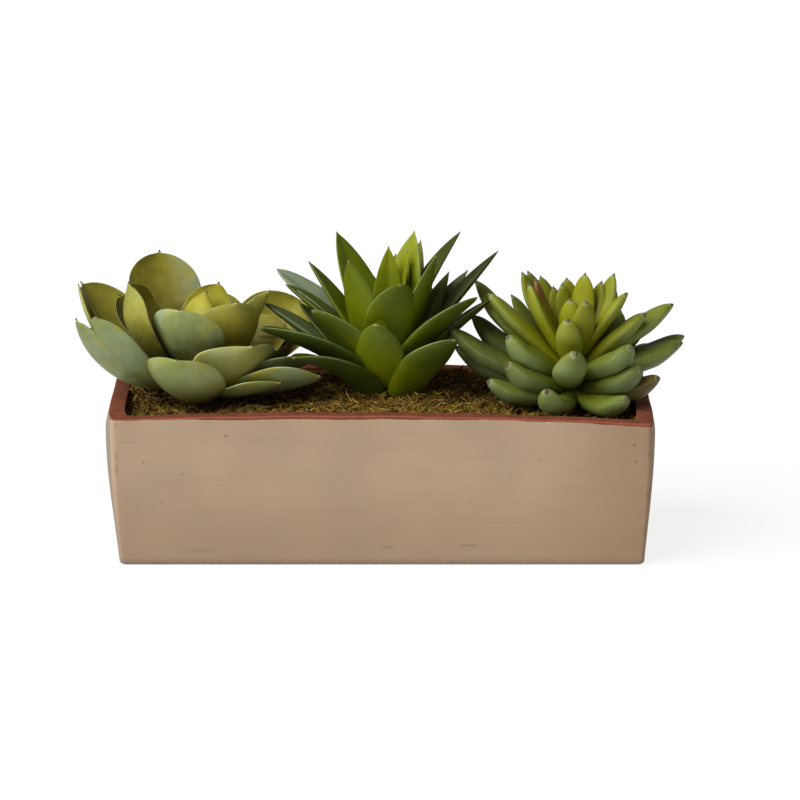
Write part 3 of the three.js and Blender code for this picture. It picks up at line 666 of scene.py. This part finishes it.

# %% [markdown]
# ### Where each leaf stands
# Each leaf is a row of six numbers: azimuth and pitch of the line from root to tip in degrees,
# length and width in mm, the degrees by which its midrib bends upward, and the mm by which its
# root is lifted. Some leaves have named measures after that. roll turns the blade about its
# midrib and sweep turns it sideways, in degrees; out moves the root away from the stem, in mm.
# fat scales the thickness; cup, nose, taper and widest take the place of the kind's own. tint
# says how far the leaf takes its plant's second colour, or below 0 how far painted shade darkens
# it all over. blush says how far it is flushed, and cool how far bloom lies along one side of it,
# or below 0 the other.

# %% Left plant, spoon leaves
SPOON_LEAVES = [
    (200, 29, 86, 40, 100, 5, dict(roll=4, blush=0.3, tint=-0.3)),
    (213, 35, 84, 41, 95, 3, dict(roll=8, cup=0.4, tint=-0.3)),
    (-99, 31, 66, 47, 70, -5, dict(roll=-8, tint=0.25)),
    (-48, 34, 58, 52, 65, -1, dict(roll=-10, tint=0.5, cool=-0.4)),
    (-32, 12, 56, 38, 30, -3, dict(tint=0.3)),
    (-21, 13, 73, 40, 15, -5, dict(roll=-26, cup=0.2)),
    (-8, 14.5, 67, 41, 28, 0, dict(roll=-14, blush=0.5)),
    (2, 24, 54, 42, 35, 0, dict(roll=6, cup=0.4)),
    (22, 32, 60, 42, 35, 0, dict(roll=18, tint=0.4)),
    (32, 30, 78, 47, 30, 0, dict(roll=38, cup=0.5, tint=0.6)),
    (62, 24, 66, 42, 50, 0),
    (96, 22, 64, 43, 55, 0),
    (132, 28, 70, 43, 55, 0),
    (158, 22, 72, 42, 50, 0),
    (180, 41.5, 90, 38, 80, 0, dict(cup=0.15, tint=0.35)),
    (156, 36, 88, 42, 50, 0, dict(roll=-4, cup=0.45, tint=0.4)),
    (-104, 56, 60, 45, 40, 0, dict(roll=-9, cool=-1)),
    (-42, 57, 57, 42, 55, 4, dict(roll=-20, tint=1)),
    (-2, 51, 63, 26, 40, 4, dict(roll=-14, cup=0.6, tint=0.8)),
    (80, 38, 62, 42, 45, 4),
    (146, 37, 66, 42, 45, 4),
    (116, 56, 75, 43, 35, 4, dict(sweep=-45, out=3, tint=0.2, cool=-0.9)),
    (184, 56, 68, 48, 75, 4, dict(roll=-6, cup=0.6, nose=0.08, tint=0.7)),
    (45, 72, 53, 40, 40, 4, dict(tint=0.8)),
    (72, 61, 51, 32, 40, 4, dict(tint=0.8)),
    (200, 98, 52, 44, 110, 6, dict(cup=0.45, tint=1)),
]
rosette("spoon_rosette", SPOON, SPOON_LEAVES, (-98, -2, 84), (9, 17, 87), spoon_skin,
        "rosette_spoon_leaves", "spoon_leaf", 11)

# %% Middle plant, pointed leaves
POINTED_LEAVES = [
    (176, 36, 81, 24, -12, 0, dict(fat=1.3, taper=0.7, tint=0.15)),
    (198, 29.5, 83, 35, -38, 0, dict(roll=8, fat=1.3, taper=0.65)),
    (208, 48, 67, 36, -25, 0, dict(roll=8, fat=1.3, taper=0.5)),
    (217, 28, 64, 30, -50, -1.5, dict(roll=6, out=8, fat=1.3, taper=0.6)),
    (-101, 54, 56, 28, 30, 0, dict(fat=1.2, taper=0.6)),
    (-39, 45, 52, 32, -30, -1, dict(roll=-12, out=9, fat=1.3, taper=0.7)),
    (-20, 48, 76, 31, -38, 0, dict(roll=-8, fat=1.2, taper=0.55)),
    (6, 42, 74, 24, -20, 0, dict(roll=-8, fat=1.3, taper=0.7, blush=0.3)),
    (30, 32, 50, 24, -25, 0),
    (52, 26, 66, 26, -25, 0),
    (66, 40, 74, 26, -20, 0),
    (84, 22, 68, 27, -30, 0),
    (100, 38, 72, 26, -20, 0),
    (118, 24, 68, 26, -25, 0),
    (140, 34, 72, 26, -20, 0),
    (158, 41, 68, 24, 0, 0),
    (-77, 65, 67, 29, -10, 4, dict(sweep=45, roll=-4, fat=1.2, taper=0.5, widest=0.6)),
    (-132, 67, 79, 28, 10, 4),
    (172, 44, 77, 25, -28, 4, dict(taper=0.7)),
    (158, 42, 87, 31, -28, 4, dict(taper=0.6, tint=1.5)),
    (165, 56, 78, 22, -12, 4),
    (115, 56, 74, 25, -10, 4),
    (84, 58, 74, 25, -10, 4, dict(tint=0.2)),
    (35, 55, 69, 20, 10, 4),
    (28, 50, 75, 20, -10, 4, dict(tint=0.15)),
    (10, 50, 92, 22, -10, 4, dict(tint=-0.75)),
    (20, 63, 91, 22, -32, 4, dict(tint=-0.7)),
    (-25, 69, 78, 28, 0, 4),
    (135, 62, 83, 27, -12, 8),
    (128, 62, 68, 24, 10, 8),
    (88, 84, 70, 18, 0, 8),
    (55, 72, 79, 25, -5, 8),
    (62, 61, 77, 20, -5, 8),
    (50, 77, 69, 14, 0, 8),
    (20, 80, 62, 12, 0, 8),
]
rosette("pointed_rosette", POINTED, POINTED_LEAVES, (3, -2, 80), (9, 22, 86), pointed_skin,
        "rosette_pointed_leaves", "pointed_leaf", 12)

# %% Right plant, finger leaves; most inner ones are slim
SLIM = dict(fat=0.65, nose=0.1)
FINGER_LEAVES = [
    (158, 30, 67, 18, 0, 0, dict(tint=0.8)),
    (176, 18, 66, 19, 5, 0, dict(tint=0.6)),
    (184, 26, 73, 19, 5, 0, dict(tint=0.5)),
    (205, 9, 52, 18, 20, 0, dict(tint=0.3)),
    (-110, 10, 48, 16, 30, 0, dict(nose=0.3)),
    (-48, 0, 41, 19, 20, 0),
    (-24, 11, 50, 18, 10, 0, dict(tint=0.7, blush=0.3)),
    (6, 21, 63, 18, -25, 0, dict(tint=0.5)),
    (18, 20, 67, 17, -20, 0),
    (42, 14, 58, 19, 10, 0),
    (66, 10, 54, 19, 15, 0),
    (92, 12, 52, 19, 15, 0),
    (118, 10, 54, 19, 15, 0),
    (142, 14, 56, 19, 10, 0),
    (212, 20, 46, 19, 10, 2),
    (-38, 18, 47, 19, 10, 2, dict(tint=-0.55)),
    (-90, 32, 43, 18, 10, 4, dict(sweep=40)),
    (207, 30, 47, 19, 5, 8),
    (-44, 26, 46, 19, 0, 8),
    (-6, 42, 52, 18, -28, 6, dict(fat=0.8, nose=0.1)),
    (12, 35, 67, 19, -28, 4, dict(fat=0.8, nose=0.1)),
    (34, 32, 56, 18, -10, 4),
    (54, 32, 54, 18, 0, 4),
    (80, 32, 54, 18, 0, 4),
    (104, 34, 54, 18, 0, 4),
    (128, 32, 56, 18, 0, 4),
    (142, 44, 58, 12, -10, 4, dict(fat=0.7, tint=0.8)),
    (155, 40, 75, 17, 0, 4, dict(fat=0.8)),
    (176, 45, 65, 17, -18, 4, dict(fat=0.8, nose=0.1)),
    (50, 50, 54, 16, -10, 8, dict(fat=0.8)),
    (76, 50, 52, 16, -10, 8, dict(fat=0.8)),
    (112, 48, 54, 16, -10, 8, dict(fat=0.8)),
    (-101, 55, 39, 14, 10, 10, dict(nose=0.15)),
    (-68, 69, 43, 14, 5, 10, dict(fat=0.8, nose=0.1)),
    (-110, 81, 40, 13, 5, 10, dict(fat=0.7, nose=0.1)),
    (190, 62, 53, 17, 0, 10, SLIM),
    (168, 66, 52, 14, 0, 10, dict(SLIM, blush=0.75)),
    (150, 57, 58, 15, 0, 10, SLIM),
    (138, 56, 58, 14, 0, 10, SLIM),
    (125, 56, 54, 14, 0, 10, SLIM),
    (118, 61, 46, 11, 0, 10, SLIM),
    (108, 66, 46, 11, 0, 10, SLIM),
    (98, 62, 50, 14, 0, 10, dict(SLIM, fat=0.6)),
    (62, 75, 51, 14, 0, 10, dict(SLIM, fat=0.6)),
    (68, 73, 44, 10, 0, 10, SLIM),
    (45, 64, 49, 13, 0, 10, SLIM),
    (35, 61, 55, 15, 0, 10, dict(SLIM, fat=0.6)),
    (-10, 56, 51, 16, -22, 10, dict(fat=0.7, nose=0.05)),
]
rosette("finger_rosette", FINGER, FINGER_LEAVES, (101, -6, 84), (9, 24, 88), finger_skin,
        "rosette_finger_leaves", "finger_leaf", 13)

# %% [markdown]
# ## Soil and moss
# Dried sheet moss covers the soil: a lumpy mat of short tufts with longer wiry golden strands
# lying over it. The soil keeps its solid and only gets a material. The mat is a height field that
# follows the solid's mounds with finer clumps on top. Hair particles could stand on it, but they
# are slow and can't be exported, so each strand is a thin three-sided tube along a bent line, and
# thousands of them are worked out at once as one array.

# %% Moss relief
MOSS_LEVEL, SOIL_TOP, FIT_GAP = 72.5, 62, 0.3
EDGE_REACH, EDGE_DROP = 4, 1.5
MOSS_MOUNDS = [
    (5, 12, 8.5, 46), (44, 34, 5, 16), (-28, 12, 4, 16), (-45, 38, 4, 26), (5, -42, 4.5, 36),
    (-58, -40, 3, 20), (-127, 14, 6, 17), (128, 28, 2, 18), (118, -28, -3, 24), (-130, -42, -4.5, 20),
]


def moss_height(x, y):
    """The level plus two short waves and a bell for each mound (x, y, height, radius)."""
    height = MOSS_LEVEL + 0.9 * np.sin(x / 5.3 + 0.6) * np.cos(y / 6.1)
    height = height + 0.6 * np.sin(x / 2.9 + y / 4.2)
    for mound_x, mound_y, rise, radius in MOSS_MOUNDS:
        height = height + rise * np.exp(-((x - mound_x) ** 2 + (y - mound_y) ** 2) / radius ** 2)
    return height


def clumps(x, y):
    """Round tufts one to ten millimetres across, from products of turned sine waves."""
    lump = np.sin(x * 0.62 + 1.4 * np.sin(y * 0.31)) * np.sin(y * 0.7 + 1.2 * np.sin(x * 0.37 + 0.8))
    first = np.sin(x * 1.1 + np.sin(y * 0.7)) * np.sin(y * 1.3 + np.sin(x * 0.9))
    second = np.sin(x * 2.3 + y * 1.7) * np.sin(y * 2.6 - x * 1.9)
    return 1.7 * lump + 1.2 * first + 0.6 * second


def moss_top(x, y):
    """The mat's surface: its mounds with the tufts on them."""
    return moss_height(x, y) + clumps(x, y)


def stands_up(x, y, least):
    """How far a place stands up among the tufts, from least in the gaps to 1 on top of a tuft."""
    return np.clip(0.5 + clumps(x, y) / 3.2, least, 1)


# %% The hollow that the moss fills
HOLLOW_Z = 70
HOLLOW_X = LENGTH / 2 + wall_offset(HOLLOW_Z) - WALL - FIT_GAP
HOLLOW_Y = DEPTH / 2 + LONG_WALL_SHARE * wall_offset(HOLLOW_Z) - WALL - FIT_GAP
print("hollow is", round(2 * HOLLOW_X, 1), "by", round(2 * HOLLOW_Y, 1), "mm")


def spread_to_walls(x, y):
    """x in a plain rectangle moved outward with the bowed end walls, in proportion to x."""
    bow = end_bow(HOLLOW_Z) * (1 - np.clip(np.abs(y) / HOLLOW_Y, 0, 1) ** 6) / HOLLOW_X
    return x * (1 + bow * np.where(x > 0, RIGHT_BOW_SHARE, 1))


# %% Make the moss mat
def moss_mat_surface(columns=270, rows=104):
    """A height field over the hollow, rounded down at its edges, with a flat underside and sides."""
    x = np.linspace(-HOLLOW_X, HOLLOW_X, columns)
    x, y = np.meshgrid(x, np.linspace(-HOLLOW_Y, HOLLOW_Y, rows))
    near_x = np.clip((HOLLOW_X - np.abs(x)) / EDGE_REACH, 0, 1)
    near_y = np.clip((HOLLOW_Y - np.abs(y)) / EDGE_REACH, 0, 1)
    rounding = 1 - (1 - near_x) ** 2 - (1 - near_y) ** 2
    x = spread_to_walls(x, y)
    z = moss_top(x, y) - EDGE_DROP * (1 - np.clip(rounding, 0, 1))
    top = np.stack([x, y, z], -1).reshape(-1, 3)
    low = top.copy()
    low[:, 2] = SOIL_TOP + FIT_GAP
    i, j = np.meshgrid(np.arange(rows - 1), np.arange(columns - 1), indexing="ij")
    a = (i * columns + j).ravel()
    up_faces = np.stack([a, a + 1, a + 1 + columns, a + columns], -1)
    shift = len(top)
    down_faces = up_faces[:, ::-1] + shift
    index = np.arange(len(top)).reshape(rows, columns)
    loop = np.concatenate([index[0, :-1], index[:-1, -1], index[-1, :0:-1], index[:0:-1, 0]])
    after = np.roll(loop, -1)
    sides = np.stack([loop, loop + shift, after + shift, after], -1)
    return np.concatenate([top, low]), np.concatenate([up_faces, down_faces, sides])


def moss_material():
    """Dried moss: matt, olive above, some strands golden or green; painted shade makes it dark brown
    in the depth and low on each strand, and lays dark blotches over it.
    """
    material, tree, shader = new_material("dried_sheet_moss")
    # the middle mark is the light a point gets; where it is low, painted shade darkens the colour
    tone, along, gold = marks_of(tree, "strand")
    golden = coats(tree, "#8E6826", ("#CFAF6C", tone))
    colour = coats(
        tree, "#8A641A", ("#94741E", (mottle(tree, 9), 0.35, 0.65)),
        ("#8E7824", (tone, 0.25, 0.75, 0, 0.9)),
        ("#767C26", (mottle(tree, 24, detail=2), 0.52, 0.66, 0, 0.5), along),
        ("#BC9C50", (tone, 0.75, 1)),
        # painted shade in the depth and low on each strand
        ("#3A2609", (along, 0.7, 0.08, 0, 0.85)),
        # blotches of painted shade
        ("#2C1E06", (mottle(tree, 8, detail=3), 0.5, 0.4, 0, 0.5)),
        (golden, gold, (along, 0, 0.3, 0.3, 1)))
    set_inputs(tree, shader, {"Base Color": colour, "Roughness": 0.95, "Specular IOR Level": 0.2})
    return material


moss_skin = moss_material()
points, quads = moss_mat_surface()
marks = np.zeros((len(points), 3))
# the bed takes a low light mark, so painted shade keeps it dark under the strands
marks[:, 1] = 0.25 * stands_up(points[:, 0], points[:, 1], 0)
add_piece("moss_bed", points, quads, np.zeros((0, 3), int), moss_skin, "moss_mat", "moss",
          {"strand": marks})


# %% Lines of the strands
ROOT_DEPTH, SUNK_AT_MOST = 0.6, 0.8


def strand_lines(draw, s, count, length, flatness, lie, patch, turned, curly):
    """Each follows root + d*s + b*s^2, where d is its first heading, b a sideways and downward bend
    and s runs from 0 to 1 of its length, with a small wiggle. It stays inside the walls and doesn't
    sink into the mat. patch is the middle x and y and the half sizes of the ground it grows on."""
    middle_x, middle_y, reach_x, reach_y = patch
    x = middle_x + draw.uniform(-reach_x, reach_x, count)
    y = middle_y + draw.uniform(-reach_y, reach_y, count)
    x = spread_to_walls(x, y)
    azimuth = np.radians(draw.uniform(*turned, count))
    slope = np.radians(draw.uniform(*flatness, count))
    level = np.cos(slope)
    heading = np.stack([level * np.cos(azimuth), level * np.sin(azimuth), np.sin(slope)], -1)
    sideways = np.stack([-np.sin(azimuth), np.cos(azimuth), np.zeros(count)], -1)
    size = draw.uniform(*length, count)[:, None, None]
    curl = draw.normal(0, curly, count)[:, None] * sideways
    curl = curl + draw.normal(-lie, 0.25, count)[:, None] * [0, 0, 1]
    root = np.stack([x, y, moss_top(x, y) - ROOT_DEPTH], -1)
    way = heading[:, None] * s[:, None] + curl[:, None] * (s ** 2)[:, None]
    line = root[:, None] + size * way
    line = line + draw.normal(0, 0.06, (count, len(s), 3)) * size * s[:, None]
    inside = HOLLOW_X - FIT_GAP, HOLLOW_Y - FIT_GAP
    line[..., 1] = np.clip(line[..., 1], -inside[1], inside[1])
    wall_x = spread_to_walls(np.sign(line[..., 0]) * inside[0], line[..., 1])
    line[..., 0] = np.where(np.abs(line[..., 0]) > np.abs(wall_x), wall_x, line[..., 0])
    line[..., 2] = np.maximum(line[..., 2], moss_top(line[..., 0], line[..., 1]) - SUNK_AT_MOST)
    return x, y, line


# %% Strands
WHOLE_MAT = (0, 0, HOLLOW_X - 1, HOLLOW_Y - 1)


def strands(name, count, length, thickness, flatness, joints, seed, lie=0.0, gold=0.0,
            patch=WHOLE_MAT, turned=(0, 360), curly=0.9):
    """Thin tubes of three sides, each thinning to a point. The marks are a strand's tone, its light,
    which grows towards its tip, and how golden it is."""
    draw = np.random.default_rng(seed)
    s = np.linspace(0, 1, joints + 1)
    x, y, line = strand_lines(draw, s, count, length, flatness, lie, patch, turned, curly)
    along = np.gradient(line, axis=1)
    along /= np.linalg.norm(along, axis=-1, keepdims=True) + 1e-9
    first = np.cross(along, [0.3, 0.2, 1.0])
    first /= np.linalg.norm(first, axis=-1, keepdims=True) + 1e-9
    second = np.cross(along, first)
    v = np.arange(3) / 3 * 2 * np.pi
    girth = draw.uniform(*thickness, count)[:, None] / 2 * (1 - 0.85 * s ** 1.5)
    ring = first[:, :, None] * np.cos(v)[:, None] + second[:, :, None] * np.sin(v)[:, None]
    tubes = (line[:, :, None] + ring * girth[:, :, None, None]).reshape(count, -1, 3)
    points = np.concatenate([line[:, :1], tubes, line[:, -1:]], 1)
    faces = [repeat_faces(kind, count, points.shape[1]) for kind in capped_faces(joints + 1, 3)]
    tone = draw.uniform(0, 1, count)
    rise = np.concatenate([[0], np.repeat(s, 3), [1]])
    light = stands_up(x, y, 0.15)[:, None] * (0.35 + 0.65 * rise)
    marks = np.stack(np.broadcast_arrays(tone[:, None], light, gold), -1)
    add_piece(name, points.reshape(-1, 3), *faces, moss_skin, "moss_mat", "moss",
              {"strand": marks.reshape(-1, 3)})


strands("moss_tufts", 7000, (1.6, 3.6), (0.9, 1.6), (-15, 60), 3, 21, curly=1.2)
strands("moss_sprigs", 7000, (1.2, 2.8), (0.8, 1.3), (-10, 60), 3, 23, curly=1.3)
strands("moss_wires", 1500, (4, 10), (0.5, 0.85), (0, 55), 7, 22, lie=0.3, gold=0.7, curly=0.8)
strands("moss_fringe", 200, (7, 13), (0.45, 0.7), (-55, 5), 7, 25, lie=0.2, gold=1.0,
        patch=(-122, -6, 9, 12), turned=(245, 295), curly=0.15)
strands("moss_clump", 520, (1.6, 3.2), (0.8, 1.3), (20, 80), 4, 26, lie=0.2, gold=0.6,
        patch=(-28, -14, 8, 13), curly=1.2)
strands("moss_arch", 110, (8, 15), (0.6, 0.9), (30, 55), 8, 27, lie=0.75, gold=1.0,
        patch=(-76, -25, 9, 2.5), turned=(-12, 14), curly=0.12)

# %% [markdown]
# ### Potting soil
# Below the moss lies dark peat soil. Only glimpses of it show, so its solid stays and a crumbly
# dark brown material is enough.

# %% Soil material
def peat_soil():
    """Dark brown peat in crumbs of a few millimetres, without any gloss."""
    material, tree, shader = new_material("peat_potting_soil")
    crumb = mottle(tree, 2.5, detail=6)
    bump = add_node(tree, "Bump", {"Height": crumb, "Strength": 0.9, "Distance": 1.5 * MM})
    set_inputs(tree, shader, {"Base Color": coats(tree, "#1E150B", ("#3B2B1B", (crumb, 0.35, 0.7))),
                              "Roughness": 1.0, "Normal": bump.outputs[0]})
    return material


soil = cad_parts["potting_soil"]
soil.data.materials.clear()
soil.data.materials.append(peat_soil())

# %% [markdown]
# ## Floor and light
# A product picture like this is taken in a light tent on a table that glows a little: the ground
# and the surroundings are even white and nearly without shadow. A big plane with a weak glow of
# its own gives that ground. One wide sun from the upper left models the leaves, and the white
# surroundings fill the rest. They look white to the camera but give less light than they show, so
# that the leaves keep their dark gaps.

# %% Floor
FLOOR_HALF, FLOOR_GLOW = 6.0, 0.84
WHITE = (1, 1, 1, 1)


def floor_material():
    """A matt white table with a weak even glow, mottled so faintly that it looks plain."""
    material, tree, shader = new_material("glowing_white_table")
    set_inputs(tree, shader, {
        "Base Color": coats(tree, "#6A6A6A", ("#6E6E6E", mottle(tree, 40))), "Roughness": 0.9,
        "Specular IOR Level": 0.0, "Emission Color": WHITE, "Emission Strength": FLOOR_GLOW})
    return material


floor_mesh = bpy.data.meshes.new("floor")
corners = [(FLOOR_HALF * x, FLOOR_HALF * y, 0) for x, y in ((-1, -1), (1, -1), (1, 1), (-1, 1))]
floor_mesh.from_pydata(corners, [], [(0, 1, 2, 3)])
floor_mesh.materials.append(floor_material())
floor = bpy.data.objects.new("floor", floor_mesh)
bpy.context.scene.collection.objects.link(floor)


# %% Lamps and surroundings
SUN_FROM = np.array([-0.60, -0.38, 0.70])
SUN_STRENGTH, SUN_WIDTH = 4.3, 55
WHITE_SHOWN, WHITE_GIVEN = 1.0, 0.24

sun_data = bpy.data.lights.new("upper_left_sun", "SUN")
sun_data.energy = SUN_STRENGTH
sun_data.angle = np.radians(SUN_WIDTH)
sun = bpy.data.objects.new("upper_left_sun", sun_data)
sun.rotation_euler = (np.arctan2(np.hypot(*SUN_FROM[:2]), SUN_FROM[2]), 0,
                      np.arctan2(SUN_FROM[0], -SUN_FROM[1]))
bpy.context.scene.collection.objects.link(sun)
print("sun stands", round(90 - np.degrees(sun.rotation_euler[0])), "degrees high")

world = bpy.data.worlds.new("white_surroundings")
world.use_nodes = True
bpy.context.scene.world = world
tree = world.node_tree
tree.nodes.clear()
shown, given = (add_node(tree, "Background", {"Color": WHITE, "Strength": strength})
                for strength in (WHITE_SHOWN, WHITE_GIVEN))
seen = add_node(tree, "LightPath").outputs["Is Camera Ray"]
mixed = add_node(tree, "MixShader", {0: seen, 1: given.outputs[0], 2: shown.outputs[0]})
add_node(tree, "OutputWorld", {"Surface": mixed.outputs[0]})
bpy.context.scene.view_settings.view_transform = "Standard"
